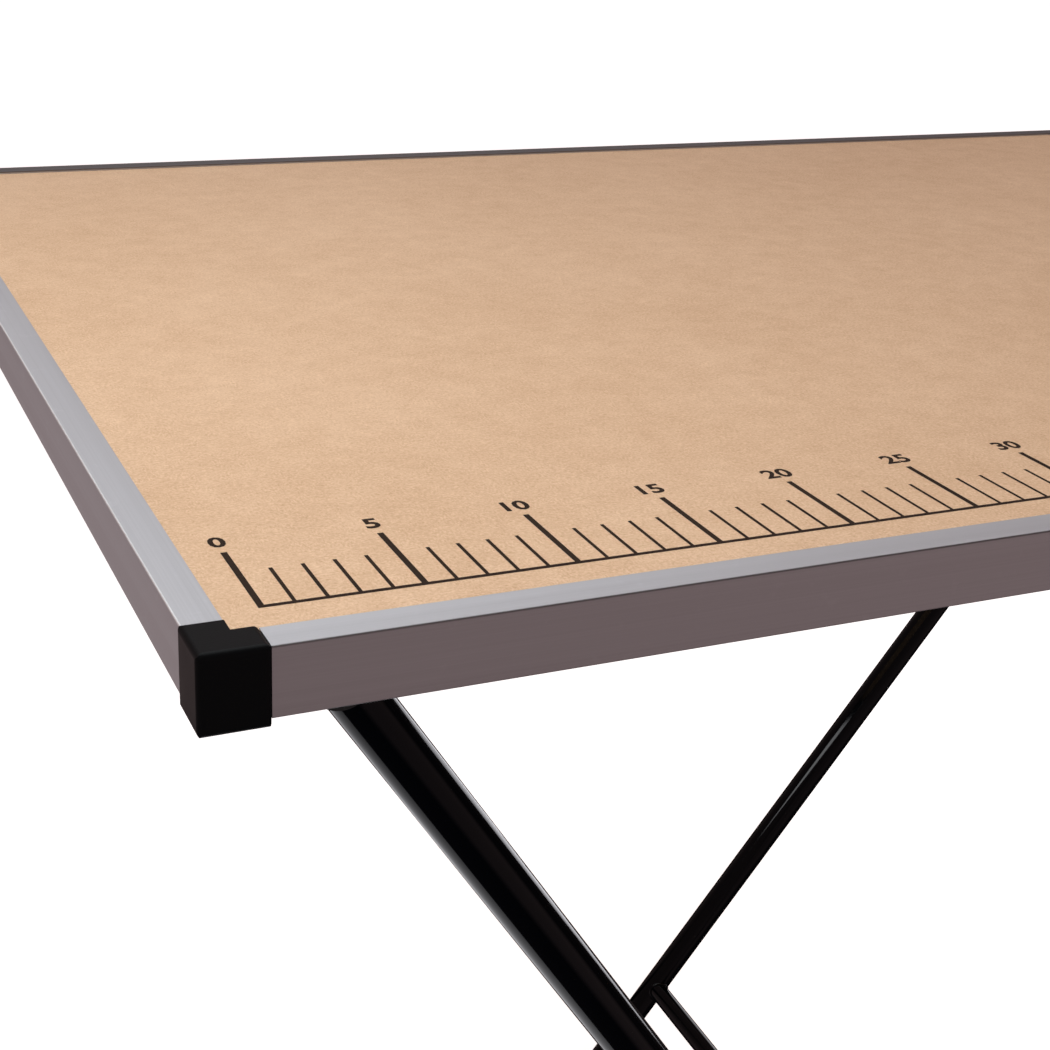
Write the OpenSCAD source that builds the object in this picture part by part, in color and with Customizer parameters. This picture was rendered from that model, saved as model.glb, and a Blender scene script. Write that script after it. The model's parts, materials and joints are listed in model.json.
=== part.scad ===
// Folding pasting table: two framed boards joined by hinges, each carried by two crossing leg frames.
// The panels are drawn in a local frame: x from the free end to the joint, y from the front rail's
// face to the back, z up from the top of the rails. The right panel mirrors the left about the joint.

/* [Table] */
// Height of the rail tops above the floor
table_h = 740; // [700:1:744]
// Length of one panel over its end rails
panel_l = 1000; // [990:1:1100]
// Width of the table over its long rails
table_w = 635; // [560:1:700]
// Gap between the end rails of the two panels
joint_gap = 5; // [4.8:0.1:7]

/* [Board] */
// Thickness of the fibreboard
board_t = 3; // [2:0.1:3.2]
// Clearance between the board's edge and a rail's wall
board_clear = 0.2; // [0.05:0.05:0.5]

/* [Rails] */
// Height of a rail
rail_h = 22.1; // [21:0.1:24]
// Thickness of a rail's outer wall
rail_wall = 1.5; // [1:0.1:1.6]
// Width of the lip that laps over the board
lip_w = 12.1; // [10:0.1:16]
// Thickness of the lip
lip_t = 1.2; // [0.8:0.1:1.3]
// Reach of the shelf under the board, from the rail's face
shelf_w = 9; // [6:0.1:9.1]
// Thickness of the shelf
shelf_t = 1.2; // [0.8:0.1:1.3]
// Reach of the bead along the rail's lower edge
bead_w = 3; // [2:0.1:3.2]
// Thickness of the bead
bead_t = 1.2; // [0.8:0.1:1.6]
// Radius of the rail's outer edges
rail_edge_r = 0.4; // [0.3:0.1:1]

/* [Corner caps] */
// Reach of a cap along the long rail
cap_x = 20.2; // [18:0.1:22]
// Reach of a cap along the end rail
cap_y = 20; // [18:0.1:24]
// Amount that a cap stands out from the rails' faces
cap_proud = 0.8; // [0.4:0.1:1]
// Amount that a cap stands above the rails
cap_rise = 0.7; // [0.4:0.1:1]
// Depth of a cap below the rail tops
cap_drop = 24.7; // [24:0.1:26]
// Radius of a cap's edges
cap_edge_r = 1.8; // [0.5:0.1:2]
// Thickness of a cap's walls behind the rail line
cap_web = 2; // [1.5:0.1:3]
// Length of the tongues that plug into the rails
tongue_l = 13; // [5:0.5:20]
// Thickness of a tongue
tongue_t = 1.8; // [1:0.1:2.5]
// Height of a tongue
tongue_h = 13; // [8:0.5:14]
// Clearance round a tongue
tongue_clear = 0.1; // [0.05:0.05:0.3]

/* [Legs] */
// Outer diameter of the leg tube
tube_d = 18; // [16:0.1:18.2]
// Wall of the leg tube
tube_wall = 1.4; // [1:0.1:2]
// Distance of the outer frame's pivot from the panel's free end
outer_pivot = 41; // [40:0.5:44]
// Distance of the inner frame's pivot from the panel's joint end
inner_pivot = 30; // [29.8:0.1:34]
// Depth of the pivots below the rail tops
pivot_drop = 14.7; // [14.6:0.05:14.9]
// Slope of the outer frame from the panel, in degrees
outer_slope = 56.44; // [55:0.01:58]
// Slope of the inner frame from the panel, in degrees
inner_slope = 53.58; // [53.2:0.01:56]
// Distance of the outer frame's tubes from the rail faces
outer_inset = 20; // [20:0.1:22]
// Distance of the inner frame's tubes from the rail faces
inner_inset = 57; // [52:1:80]
// Diameter of the inner frame's cross bar
bar_d = 14; // [12:0.5:16]
// Distance of the cross bar from the foot end of its tubes
bar_up = 101; // [90:1:140]
// Gap left at a welded tube joint
weld_gap = 0.02; // [0.01:0.01:0.05]

/* [Feet] */
// Wall of a foot cap round the tube
foot_wall = 1.15; // [0.8:0.05:1.2]
// Length of a foot cap on the tube
foot_grip = 20; // [12:1:30]
// Thickness under the tube's end
foot_sole = 3; // [2:0.5:5]
// Clearance between a foot cap and its tube
foot_clear = 0.03; // [0.01:0.01:0.1]
// Number of rings round a foot cap
foot_rings = 3; // [1:1:4]
// Spacing of the rings
foot_ring_step = 3.5; // [3:0.1:4]
// Depth of the grooves between the rings
foot_ring_deep = 0.45; // [0.2:0.05:0.6]

/* [Pivot blocks] */
// Radius of a block's rounded lower end
block_r = 9.5; // [8.5:0.1:9.9]
// Length of the spigot inside the axle tube
spigot_l = 14; // [8:0.5:20]
// Radial clearance of the spigot in the tube
spigot_clear = 0.05; // [0.02:0.01:0.1]
// Side clearance between a block and what is next to it
block_clear = 0.2; // [0.1:0.05:0.3]
// Gap between a block and the axle tube's end
axle_end_gap = 0.4; // [0.3:0.05:0.6]

/* [Leg clips] */
// Length of a clip along the tube
clip_l = 18; // [12:1:30]
// Thickness of a clip's jaws
clip_jaw = 1.4; // [1:0.1:1.5]
// Thickness of a clip's base on the board
clip_base = 1.1; // [0.8:0.1:1.2]
// Clearance between a folded tube and the clip's jaws
clip_clear = 0.3; // [0.2:0.05:0.35]
// Height of the jaws below the board
clip_h = 13; // [10:0.5:16]

/* [Brace] */
// Width of the wooden brace under each board
brace_w = 45; // [30:1:60]
// Depth of the brace
brace_t = 14; // [10:0.5:18]
// Gap between the brace's ends and the inner clips
brace_gap = 6; // [2:0.5:20]

/* [Hinges] */
// Length of a hinge along the joint
hinge_l = 80; // [50:1:120]
// Distance of a hinge's middle from the rail faces
hinge_inset = 130; // [80:1:200]
// Thickness of a hinge leaf
leaf_t = 1.5; // [1.2:0.05:1.6]
// Depth of a leaf below the rail tops
leaf_drop = 20; // [14:0.5:21]
// Outer radius of the knuckles
knuckle_r = 2.2; // [2.1:0.05:2.25]
// Radius of the hinge pin
hinge_pin_r = 1.1; // [0.9:0.05:1.2]
// Radial clearance of the pin in the knuckles
hinge_clear = 0.05; // [0.02:0.01:0.1]
// Gap between two knuckles
knuckle_gap = 0.3; // [0.3:0.05:0.5]
// Height of the hinge axis above the caps' tops
axis_rise = 0.15; // [0.15:0.05:0.3]

/* [Handle] */
// Distance between the handle's two lugs, centre to centre
handle_span = 124; // [100:1:150]
// Distance of the handle's pivots in front of the rail face
handle_out = 8.5; // [8.3:0.1:12]
// Depth of the handle's pivots below the rail tops
handle_drop = 11; // [10:0.5:12]
// Distance from the pivots to the middle of the grip
handle_hang = 34; // [28:1:45]
// Radius of the grip
grip_r = 7.5; // [6:0.1:8]
// Length of the grip
grip_l = 82; // [70:1:84]
// Length of the grip's tapered ends
grip_round = 2.5; // [1:0.1:4]
// Depth of the grip's waist
grip_waist = 0.8; // [0.4:0.1:1.5]
// Radius of the bail's wire
wire_r = 3; // [2.5:0.1:3.5]
// Thickness of the head on each end of the wire
wire_head_t = 1.2; // [0.8:0.1:2]
// Amount that the wire's heads are wider than the wire
wire_head_over = 1; // [0.6:0.1:1.5]
// Gap between a lug and what is next to it on the wire
lug_gap = 0.4; // [0.3:0.05:0.8]
// Thickness of a lug along the handle
lug_t = 9; // [7:0.5:12]
// Radius of a lug round its pivot
lug_r = 6; // [5:0.1:6.5]
// Thickness of a lug's plate on the rail
lug_plate = 2; // [1.5:0.1:2.4]
// Width of a lug's plate
lug_plate_w = 22; // [18:1:26]
// Height of a lug's plate
lug_plate_h = 16; // [13:0.5:18]

/* [Latches] */
// Depth of the latches' rivets and studs below the rail tops
latch_drop = 11; // [10:0.5:12]
// Distance of each latch from the panel's middle
latch_off = 118; // [100:1:140]
// Thickness of a latch hook
hook_t = 2; // [1.5:0.1:2.5]
// Radius of a hook's eye
eye_r = 6; // [5:0.1:6.5]
// Width of a hook's arm
hook_w = 11; // [10:0.5:12]
// Radius of the rivet that a hook turns on
rivet_r = 3; // [2.5:0.1:3.5]
// Radius of the stud that a hook catches
stud_r = 2.5; // [2:0.1:3]
// Clearance of a stud in the hook's mouth
stud_clear = 0.5; // [0.3:0.1:0.8]
// Thickness of the washer behind a hook
washer_t = 1.2; // [0.8:0.1:1.6]
// Gap on each side of a hook
hook_gap = 0.3; // [0.2:0.05:0.5]
// Thickness of a rivet's or stud's head
head_t = 1.2; // [0.8:0.1:2]
// Amount that a head is wider than its shank
head_over = 2; // [1.5:0.1:3]

/* [Hidden] */
$fn = 48;
eps = 0.01;
tube_r = tube_d / 2;
tube_bore = tube_r - tube_wall;
board_under = lip_t + board_t;
shelf_under = board_under + shelf_t;
joint_x = panel_l + joint_gap / 2;
axis_z = cap_rise + axis_rise;
pivot_h = table_h - pivot_drop;
foot_r = tube_r + foot_wall;
block_in = rail_wall + block_clear;
block_out = outer_inset - tube_r - axle_end_gap;
axle_end = outer_inset - tube_r;
board_in = rail_wall + board_clear;
tongue_mid = (shelf_under + rail_h - bead_t) / 2;
front_reach = handle_out + grip_r;
front_shift = (front_reach - cap_proud) / 2;
front_y = front_shift - table_w / 2;
mid_x = panel_l / 2;
bend_r = 2 * wire_r;
bail_x = (handle_span - lug_t) / 2 - lug_gap;
stud_dist = 2 * latch_drop + 2 * axis_z;

// Places of the two panels

module left_side() {
    translate([-joint_x, front_y, table_h]) children();
}

module right_side() {
    mirror([1, 0, 0]) left_side() children();
}

module front_and_back() {
    children();
    translate([0, table_w, 0]) mirror([0, 1, 0]) children();
}

module from_joint() {
    translate([panel_l, 0, 0]) mirror([1, 0, 0]) children();
}

module both_ends() {
    children();
    from_joint() children();
}

// Board and rails

module board() {
    color("burlywood")
        translate([board_in, board_in, -board_under])
        cube([panel_l - 2 * board_in, table_w - 2 * board_in, board_t]);
}

module rail_section() {
    // the face side has rounded edges; lip, shelf and bead reach inwards from the wall
    translate([rail_edge_r, -rail_h]) square([rail_wall - rail_edge_r, rail_h]);
    translate([0, rail_edge_r - rail_h]) square([rail_wall, rail_h - 2 * rail_edge_r]);
    translate([rail_edge_r, -rail_edge_r]) circle(rail_edge_r);
    translate([rail_edge_r, rail_edge_r - rail_h]) circle(rail_edge_r);
    translate([rail_edge_r, -lip_t]) square([lip_w - rail_edge_r, lip_t]);
    translate([rail_wall / 2, -shelf_under]) square([shelf_w - rail_wall / 2, shelf_t]);
    translate([rail_edge_r, -rail_h]) square([bead_w - rail_edge_r, bead_t]);
}

module long_rail() {
    color("silver")
        translate([cap_x, 0, 0])
        rotate([90, 0, 90])
        linear_extrude(panel_l - 2 * cap_x) rail_section();
}

module short_rail() {
    color("silver")
        translate([0, table_w - cap_y, 0])
        rotate([90, 0, 0])
        linear_extrude(table_w - 2 * cap_y) rail_section();
}

module back_rail() {
    translate([0, table_w, 0]) mirror([0, 1, 0]) long_rail();
}

module joint_rail() {
    from_joint() short_rail();
}

// Corner caps

module round_rect(w, h, r) {
    translate([r, 0]) square([w - 2 * r, h]);
    translate([0, r]) square([w, h - 2 * r]);
    for (x = [r, w - r], y = [r, h - r])
        translate([x, y]) circle(r);
}

module cap_block() {
    // rounded along all three axes
    w = cap_x + cap_proud;
    d = cap_y + cap_proud;
    h = cap_drop + cap_rise;
    translate([-cap_proud, -cap_proud, -cap_drop])
        intersection() {
            linear_extrude(h) round_rect(w, d, cap_edge_r);
            translate([0, d, 0]) rotate([90, 0, 0]) linear_extrude(d) round_rect(w, h, cap_edge_r);
            rotate([90, 0, 90]) linear_extrude(w) round_rect(d, h, cap_edge_r);
        }
}

module corner_trim(x, y) {
    // what rounding takes off a corner whose round is centred at a place
    difference() {
        translate([x, y]) square(cap_edge_r + eps);
        translate([x, y]) circle(cap_edge_r);
    }
}

module board_window() {
    // the cap's two arms lie beside this window and end in round corners
    arm_side = lip_w - cap_edge_r;
    translate([lip_w, lip_w]) square([cap_x, cap_y]);
    corner_trim(cap_x - cap_edge_r, arm_side);
    corner_trim(arm_side, cap_y - cap_edge_r);
}

module corner_cap() {
    // open over the board, slotted for its edge, and hollow below the slot
    difference() {
        cap_block();
        translate([0, 0, -lip_t - eps]) linear_extrude(cap_drop) board_window();
        translate([rail_wall, rail_wall, -board_under]) cube([cap_x, cap_y, board_t]);
        translate([rail_wall, rail_wall, -cap_drop - 1])
            cube([cap_x - rail_wall - cap_web, cap_y - rail_wall - cap_web,
                  cap_drop + 1 - shelf_under - cap_web / 2]);
    }
    translate([rail_wall + tongue_clear, cap_y - eps, -tongue_mid - tongue_h / 2])
        cube([tongue_t, tongue_l + eps, tongue_h]);
}

module corner_caps() {
    color([0.06, 0.06, 0.06])
        both_ends() front_and_back() corner_cap();
}

// Pivot blocks that carry the leg frames

module pivot_block(pivot) {
    translate([pivot, 0, -pivot_drop]) {
        difference() {
            translate([0, block_out, 0]) rotate([90, 0, 0]) linear_extrude(block_out - block_in) {
                circle(block_r);
                translate([-block_r, 0]) square([2 * block_r, pivot_drop - shelf_under]);
            }
            translate([-block_r - 1, 0, pivot_drop - rail_h - block_clear])
                cube([2 * block_r + 2, bead_w + block_clear, bead_t + 2 * block_clear]);
        }
        translate([0, block_out + spigot_l, 0]) rotate([90, 0, 0])
            cylinder(r = tube_bore - spigot_clear, h = spigot_l + 1);
    }
}

module pivot_blocks() {
    color([0.08, 0.08, 0.08]) front_and_back() {
        pivot_block(outer_pivot);
        from_joint() pivot_block(inner_pivot);
    }
}

// Clips that hold the folded legs, and the brace between them

module leg_clip(inset) {
    half = tube_r + clip_clear;
    translate([mid_x - clip_l / 2, inset, -board_under]) rotate([90, 0, 90]) linear_extrude(clip_l) {
        translate([-half - clip_jaw, -clip_base]) square([2 * (half + clip_jaw), clip_base]);
        for (s = [-1, 1]) {
            polygon([
                [s * half, 0], [s * (half + clip_jaw), 0],
                [s * (half + clip_jaw), -clip_h], [s * (half + clip_jaw / 2), -clip_h],
                [s * half, 1 - clip_h]
            ]);
        }
    }
}

module leg_clips() {
    color([0.1, 0.1, 0.1])
        front_and_back() {
            leg_clip(outer_inset);
            leg_clip(inner_inset);
        }
}

module brace() {
    y = inner_inset + tube_r + clip_clear + clip_jaw + brace_gap;
    color("tan")
        translate([mid_x - brace_w / 2, y, -board_under - brace_t])
        cube([brace_w, table_w - 2 * y, brace_t]);
}

// Leg frames: an axle tube across the panel carries two side tubes

module axle_tube(pivot) {
    color([0.05, 0.05, 0.06])
        translate([pivot, table_w - axle_end, -pivot_drop]) rotate([90, 0, 0]) difference() {
            cylinder(r = tube_r, h = table_w - 2 * axle_end);
            translate([0, 0, -1]) cylinder(r = tube_bore, h = table_w);
        }
}

// Length from the pivot to the end of a side tube, which stops inside its foot cap
function tube_len(slope) = (pivot_h - foot_sole - tube_r * cos(slope)) / sin(slope);

module along_leg(pivot, inset, slope) {
    translate([pivot, inset, -pivot_drop]) rotate([0, 90 + slope, 0]) children();
}

module side_tube(pivot, inset, slope) {
    difference() {
        along_leg(pivot, inset, slope) difference() {
            cylinder(r = tube_r, h = tube_len(slope));
            translate([0, 0, -1]) cylinder(r = tube_bore, h = tube_len(slope) + 2);
        }
        translate([pivot, inset + tube_d, -pivot_drop]) rotate([90, 0, 0])
            cylinder(r = tube_r + weld_gap, h = 2 * tube_d);
    }
}

module foot_cap(pivot, inset, slope) {
    end = tube_len(slope);
    bottom = end + (foot_sole + (tube_r + foot_r) * cos(slope)) / sin(slope);
    mouth = end - foot_grip;
    groove = foot_ring_step / 2;
    inside = tube_r + foot_clear;
    grooves = [for (i = [1 : foot_rings], p = [0, 1, 2, 3])
        [foot_r - (p == 1 || p == 2 ? foot_ring_deep : 0),
         mouth + i * foot_ring_step + groove * [0, 0.2, 0.8, 1][p]]];
    intersection() {
        along_leg(pivot, inset, slope) rotate_extrude() polygon(concat(
            [[inside, mouth], [foot_r - foot_ring_deep, mouth], [foot_r, mouth + groove]],
            grooves,
            [[foot_r, bottom], [0, bottom], [0, end + foot_clear], [inside, end + foot_clear]]
        ));
        translate([0, 0, -table_h]) cube([panel_l, table_w, table_h]);
    }
}

module side_tubes(pivot, inset, slope) {
    color([0.05, 0.05, 0.06]) front_and_back() side_tube(pivot, inset, slope);
}

module foot_caps(pivot, inset, slope) {
    color([0.1, 0.1, 0.1]) front_and_back() foot_cap(pivot, inset, slope);
}

module cross_bar(pivot, inset, slope) {
    down = tube_len(slope) - bar_up;
    color([0.05, 0.05, 0.06]) difference() {
        along_leg(pivot, inset, slope) translate([0, 0, down]) rotate([-90, 0, 0])
            difference() {
                cylinder(d = bar_d, h = table_w - 2 * inset);
                translate([0, 0, -1]) cylinder(r = bar_d / 2 - tube_wall, h = table_w);
            }
        front_and_back() along_leg(pivot, inset, slope) translate([0, 0, down - bar_d])
            cylinder(r = tube_r + weld_gap, h = 2 * bar_d);
    }
}

// The outer frame hangs from the free end; the inner one hangs from the joint end and slopes back

module outer_axle() { axle_tube(outer_pivot); }
module outer_legs() { side_tubes(outer_pivot, outer_inset, outer_slope); }
module outer_feet() { foot_caps(outer_pivot, outer_inset, outer_slope); }
module inner_axle() { from_joint() axle_tube(inner_pivot); }
module inner_legs() { from_joint() side_tubes(inner_pivot, inner_inset, inner_slope); }
module inner_bar() { from_joint() cross_bar(inner_pivot, inner_inset, inner_slope); }
module inner_feet() { from_joint() foot_caps(inner_pivot, inner_inset, inner_slope); }

// Hinges in the gap between the end rails

module hinge_leaf(first, bore_r) {
    // the knuckles take every second one of five slots along the pin
    slot = hinge_l / 5;
    low = joint_gap / 2;
    difference() {
        union() {
            translate([-low, 0, -leaf_drop]) cube([leaf_t, hinge_l, leaf_drop + axis_z]);
            translate([0, 0, axis_z]) rotate([-90, 0, 0]) cylinder(r = knuckle_r, h = hinge_l);
        }
        translate([0, -1, axis_z]) rotate([-90, 0, 0]) cylinder(r = bore_r, h = hinge_l + 2);
        for (i = [0 : 4])
            if (i % 2 != first)
                translate([-low - 1, i * slot - knuckle_gap / 2, axis_z - knuckle_r - knuckle_gap])
                    cube([2 * low + 2, slot + knuckle_gap, 2 * (knuckle_r + knuckle_gap)]);
    }
}

module hinge_places() {
    for (y = [hinge_inset, table_w - hinge_inset])
        translate([joint_x, y - hinge_l / 2, 0]) children();
}

module hinge_pin() {
    translate([0, 0, axis_z]) rotate([-90, 0, 0]) cylinder(r = hinge_pin_r, h = hinge_l);
}

// Carrying handle on the left panel's front rail

module handle_place() {
    translate([mid_x, -handle_out, -handle_drop]) children();
}

module handle_lug() {
    inner = handle_out - lug_plate;
    difference() {
        rotate([90, 0, 90]) translate([0, 0, -lug_t / 2]) linear_extrude(lug_t) {
            circle(lug_r);
            translate([0, -lug_r]) square([handle_out, 2 * lug_r]);
        }
        translate([-lug_t, 0, 0]) rotate([0, 90, 0])
            cylinder(r = wire_r + hinge_clear, h = 2 * lug_t);
    }
    translate([-lug_plate_w / 2, inner, -lug_plate_h / 2])
        cube([lug_plate_w, lug_plate, lug_plate_h]);
}

module handle_lugs() {
    color([0.08, 0.08, 0.08]) handle_place()
        for (s = [-1, 1])
            translate([s * handle_span / 2, 0, 0]) handle_lug();
}

module wire_bend(from) {
    // a quarter turn of the wire in the handle's plane, starting at an angle from +X towards +Z
    rotate([90, 0, 0]) rotate(from) rotate_extrude(angle = 90) translate([bend_r, 0]) circle(wire_r);
}

module bail_arm() {
    // half of the bent wire: in the lug, down the arm and along the grip to the middle
    translate([bail_x, 0, 0]) rotate([0, 90, 0])
        cylinder(r = wire_r, h = lug_gap + lug_t + lug_gap + wire_head_t);
    translate([bail_x + 2 * lug_gap + lug_t, 0, 0]) rotate([0, 90, 0])
        cylinder(r = wire_r + wire_head_over, h = wire_head_t);
    translate([bail_x, 0, -bend_r]) wire_bend(90);
    translate([bail_x - 2 * bend_r, 0, bend_r - handle_hang]) wire_bend(270);
    translate([bail_x - bend_r, 0, bend_r - handle_hang])
        cylinder(r = wire_r, h = handle_hang - 2 * bend_r);
    rotate([0, 90, 0]) translate([handle_hang, 0, 0]) cylinder(r = wire_r, h = bail_x - 2 * bend_r);
}

module handle_bail() {
    color("silver") handle_place()
        for (s = [0, 1]) mirror([s, 0, 0]) bail_arm();
}

module handle_grip() {
    half = grip_l / 2;
    color([0.06, 0.06, 0.06]) handle_place()
        translate([0, 0, -handle_hang]) rotate([0, 90, 0]) rotate_extrude() polygon([
            [wire_r, -half], [grip_r - grip_round, -half], [grip_r, grip_round - half],
            [grip_r, -half / 2], [grip_r - grip_waist, 0], [grip_r, half / 2],
            [grip_r, half - grip_round], [grip_r - grip_round, half], [wire_r, half]
        ]);
}

// Latches: hooks on the left panel catch studs on the right one when it lies folded on top

module latch_place(side) {
    translate([mid_x + side * latch_off, 0, -latch_drop]) children();
}

// A short shank with a flat head, standing out from the rail's face
module headed_pin(r) {
    reach = washer_t + hook_t + 2 * hook_gap;
    rotate([90, 0, 0]) {
        cylinder(r = r, h = reach + head_t);
        translate([0, 0, reach]) cylinder(r = r + head_over, h = head_t);
    }
}

module latch_rivet() {
    headed_pin(rivet_r);
    rotate([90, 0, 0]) cylinder(r = rivet_r + head_over, h = washer_t);
}

module latch_rivets() {
    color("silver") for (s = [-1, 1]) latch_place(s) latch_rivet();
}

module latch_hook() {
    mouth = stud_r + stud_clear;
    translate([0, -washer_t - hook_gap, 0]) rotate([90, 0, 0]) linear_extrude(hook_t) difference() {
        union() {
            circle(eye_r);
            translate([-hook_w / 2, -stud_dist - mouth]) square([hook_w, stud_dist + mouth]);
            translate([0, -stud_dist - mouth]) intersection() {
                circle(hook_w / 2);
                translate([-hook_w, -hook_w]) square([2 * hook_w, hook_w]);
            }
        }
        circle(rivet_r + hinge_clear);
        translate([0, -stud_dist]) {
            circle(mouth);
            translate([0, -mouth]) square([hook_w, 2 * mouth]);
        }
    }
}

module latch_studs() {
    color("silver") for (s = [-1, 1]) latch_place(s) headed_pin(stud_r);
}

left_side() board();  // left_board
left_side() long_rail();  // left_front_rail
left_side() back_rail();  // left_back_rail
left_side() short_rail();  // left_end_rail
left_side() joint_rail();  // left_joint_rail
left_side() corner_caps();  // left_corner_caps
left_side() pivot_blocks();  // left_pivot_blocks
left_side() leg_clips();  // left_leg_clips
left_side() brace();  // left_brace
left_side() outer_axle();  // left_outer_axle
left_side() outer_legs();  // left_outer_legs
left_side() outer_feet();  // left_outer_feet
left_side() inner_axle();  // left_inner_axle
left_side() inner_legs();  // left_inner_legs
left_side() inner_bar();  // left_inner_bar
left_side() inner_feet();  // left_inner_feet
right_side() board();  // right_board
right_side() long_rail();  // right_front_rail
right_side() back_rail();  // right_back_rail
right_side() short_rail();  // right_end_rail
right_side() joint_rail();  // right_joint_rail
right_side() corner_caps();  // right_corner_caps
right_side() pivot_blocks();  // right_pivot_blocks
right_side() leg_clips();  // right_leg_clips
right_side() brace();  // right_brace
right_side() outer_axle();  // right_outer_axle
right_side() outer_legs();  // right_outer_legs
right_side() outer_feet();  // right_outer_feet
right_side() inner_axle();  // right_inner_axle
right_side() inner_legs();  // right_inner_legs
right_side() inner_bar();  // right_inner_bar
right_side() inner_feet();  // right_inner_feet
left_side() color("silver") hinge_places() hinge_leaf(0, hinge_pin_r);  // left_hinge_leaves
right_side() color("silver") hinge_places() hinge_leaf(1, hinge_pin_r + hinge_clear);  // right_hinge_leaves
left_side() color("gray") hinge_places() hinge_pin();  // hinge_pins
left_side() handle_lugs();
left_side() handle_bail();
left_side() handle_grip();
left_side() latch_rivets();
left_side() color("silver") latch_place(-1) latch_hook();  // latch_hook_outer
left_side() color("silver") latch_place(1) latch_hook();  // latch_hook_inner
right_side() latch_studs();
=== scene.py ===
# %% [markdown]
# # A folding pasting table
# The solids of this table already have their true shapes: boards, rails, caps, tubes, hinges and
# handle. This lesson gives them their finishes and adds what only shows on the surface: the printed
# centimetre scale, the weld beads and the screws. The first step loads the solids as a fixed frame.

# %% Load the frame
import json
import math
from functools import reduce

import bpy
import numpy as np
from mathutils import Matrix, Vector


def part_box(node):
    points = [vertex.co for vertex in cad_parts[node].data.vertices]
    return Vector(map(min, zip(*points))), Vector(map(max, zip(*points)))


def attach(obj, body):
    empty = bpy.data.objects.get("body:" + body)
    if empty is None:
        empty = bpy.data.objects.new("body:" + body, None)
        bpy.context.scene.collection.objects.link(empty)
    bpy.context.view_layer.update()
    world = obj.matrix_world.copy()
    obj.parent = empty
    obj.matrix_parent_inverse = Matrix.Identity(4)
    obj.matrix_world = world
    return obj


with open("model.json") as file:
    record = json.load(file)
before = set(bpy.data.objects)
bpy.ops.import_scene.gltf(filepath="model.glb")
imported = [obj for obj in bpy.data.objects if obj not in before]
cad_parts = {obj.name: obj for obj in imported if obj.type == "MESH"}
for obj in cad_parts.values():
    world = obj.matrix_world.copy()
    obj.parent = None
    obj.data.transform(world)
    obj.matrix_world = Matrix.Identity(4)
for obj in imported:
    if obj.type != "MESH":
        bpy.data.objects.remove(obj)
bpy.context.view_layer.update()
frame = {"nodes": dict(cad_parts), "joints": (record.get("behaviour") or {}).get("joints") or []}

MM = 0.001
SIDES = ("left", "right")
joints = {joint["name"]: joint for joint in frame["joints"]}
print("pieces from the frame:", len(frame["nodes"]))

# %% [markdown]
# ## The camera
# The photograph looks down on the ruled corner from close by. The centimetre marks in it gave the
# camera's place, its direction and its lens. The place is written from the corner of the rails,
# where the scale starts, so it follows the table. A heading, a dip and a small roll are easier to
# read than a matrix, and three turns in a row rebuild the matrix from them.

# %% Camera
corner = Vector((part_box("left_end_rail")[0].x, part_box("left_front_rail")[0].y,
                 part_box("left_front_rail")[1].z))
CAMERA_FROM_CORNER = Vector((-102.5, -413.3, 216.1)) * MM
HEADING = math.radians(25.36)
DIP = math.radians(22.56)
ROLL = math.radians(3.01)
LENS_MM = 60.83
SENSOR_MM = 36.0
NEAREST_SEEN = 10 * MM


def camera_turn(heading, dip, roll):
    """Start looking along +Y, dip, turn to the heading, with the roll about the view first."""
    level = Matrix.Rotation(math.pi / 2 - dip, 4, "X")
    return Matrix.Rotation(-heading, 4, "Z") @ level @ Matrix.Rotation(roll, 4, "Z")


lens = bpy.data.cameras.new("camera")
lens.lens = LENS_MM
lens.sensor_width = SENSOR_MM
lens.clip_start = NEAREST_SEEN
camera = bpy.data.objects.new("camera", lens)
bpy.context.scene.collection.objects.link(camera)
camera_place = Matrix.Translation(corner + CAMERA_FROM_CORNER)
camera.matrix_world = camera_place @ camera_turn(HEADING, DIP, ROLL)
bpy.context.scene.camera = camera
print("camera at", [round(v, 3) for v in camera.matrix_world.translation])

# %% [markdown]
# ## Small helpers for shader trees
# A procedural finish is a tree of small nodes. These helpers make one node each and return the
# socket that the next step needs, so that a finish reads from top to bottom as a recipe. Each takes
# plain numbers or the sockets of other nodes alike.


# %% Node helpers
def feed(tree, socket, value):
    """Links another node's socket into this one, or writes a plain value on it."""
    if isinstance(value, bpy.types.NodeSocket):
        tree.links.new(value, socket)
    else:
        socket.default_value = value


def noise(tree, vector, scale, detail=2.0, roughness=0.5):
    """Cloudy values round a half, with features about 1 / scale metres across."""
    node = tree.nodes.new("ShaderNodeTexNoise")
    settings = {"Vector": vector, "Scale": scale, "Detail": detail, "Roughness": roughness}
    for name, value in settings.items():
        feed(tree, node.inputs[name], value)
    return node.outputs["Fac"]


def stretch(tree, vector, scale):
    """The same place measured with another ruler along each axis, which draws a pattern out."""
    node = tree.nodes.new("ShaderNodeVectorMath")
    node.operation = "MULTIPLY"
    feed(tree, node.inputs[0], vector)
    feed(tree, node.inputs[1], scale)
    return node.outputs[0]


def remap(tree, value, low, high, new_low=0.0, new_high=1.0):
    """Values from low to high become values from new_low to new_high, and stop at the ends."""
    node = tree.nodes.new("ShaderNodeMapRange")
    settings = {"Value": value, "From Min": low, "From Max": high, "To Min": new_low, "To Max": new_high}
    for name, number in settings.items():
        feed(tree, node.inputs[name], number)
    return node.outputs["Result"]


def maths(tree, operation, first, second):
    """One sum on two values."""
    node = tree.nodes.new("ShaderNodeMath")
    node.operation = operation
    feed(tree, node.inputs[0], first)
    feed(tree, node.inputs[1], second)
    return node.outputs[0]


def times(tree, *values):
    """The values multiplied together, from left to right."""
    return reduce(lambda first, second: maths(tree, "MULTIPLY", first, second), values)


def plus(tree, *values):
    """The values added up, from left to right."""
    return reduce(lambda first, second: maths(tree, "ADD", first, second), values)


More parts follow.
